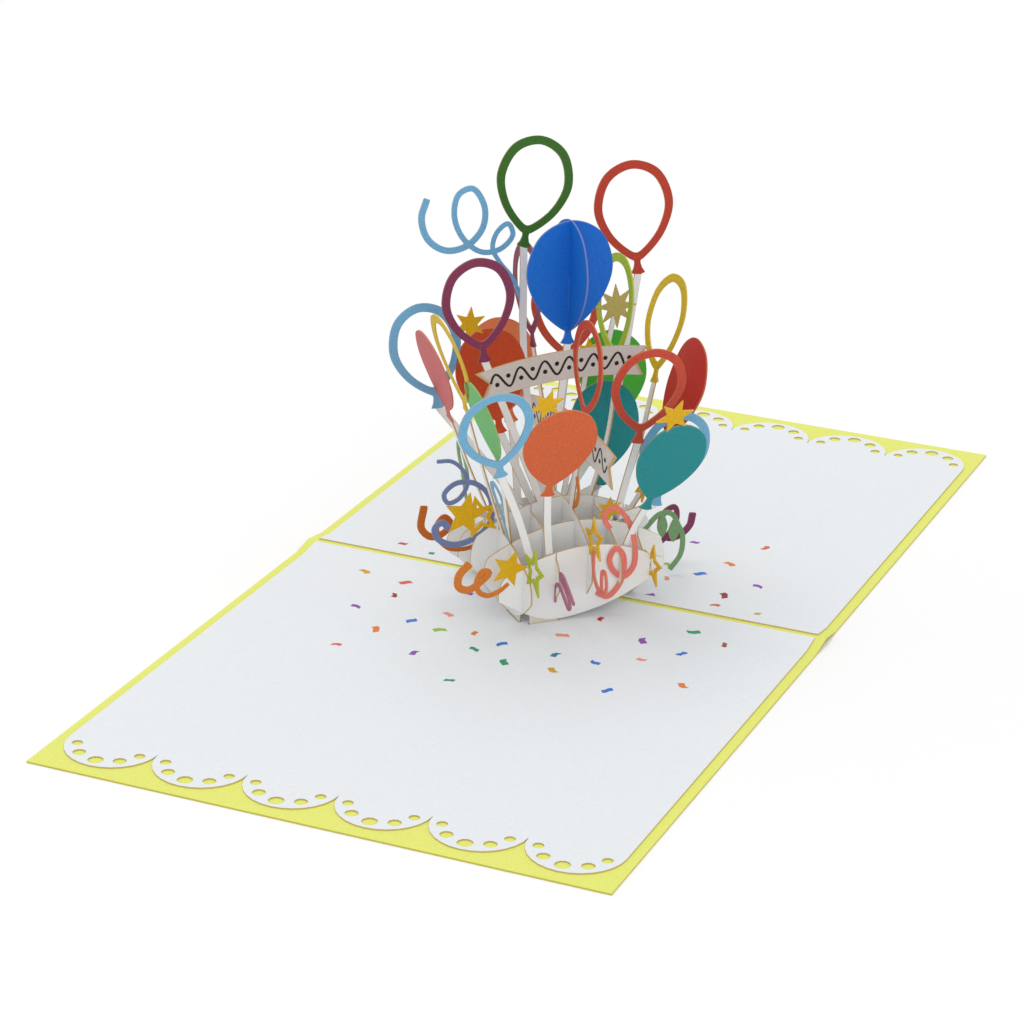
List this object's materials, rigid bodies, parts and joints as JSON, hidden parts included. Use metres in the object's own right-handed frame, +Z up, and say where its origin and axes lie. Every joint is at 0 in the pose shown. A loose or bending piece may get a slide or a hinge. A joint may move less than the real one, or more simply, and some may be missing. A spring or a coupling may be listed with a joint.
{
  "type": "pop up card",
  "caption": "Open folded card with scalloped white liners and a slotted paper pop up of balloons on stems, stars, curled streamers and two banners.",
  "frame": {"origin": "middle of the fold, on the surface that the open card lies on", "axes": "+X along the fold, +Y across the far panel, +Z up"},
  "size_m": [0.15, 0.3, 0.1189],
  "materials": {
    "yellow_card": "matte dyed card with a fine grain",
    "liner_paper": "smooth matte, browned at the laser cut edges",
    "slice_paper": "smooth matte, printed in flat colours and browned at the laser cut edges",
    "blue_paper": "smooth matte print"
  },
  "bodies": {
    "root": {"cover": "yellow_card", "liner_near": "liner_paper", "liner_far": "liner_paper", "slice_a1": "slice_paper", "slice_a2": "slice_paper", "slice_a3": "slice_paper", "slice_a4": "slice_paper", "slice_a5": "slice_paper", "slice_b1": "slice_paper", "slice_b2": "slice_paper", "slice_b3": "slice_paper", "slice_b4": "slice_paper", "slice_b5": "slice_paper", "balloon_cross": "blue_paper"}
  },
  "joints": []
}
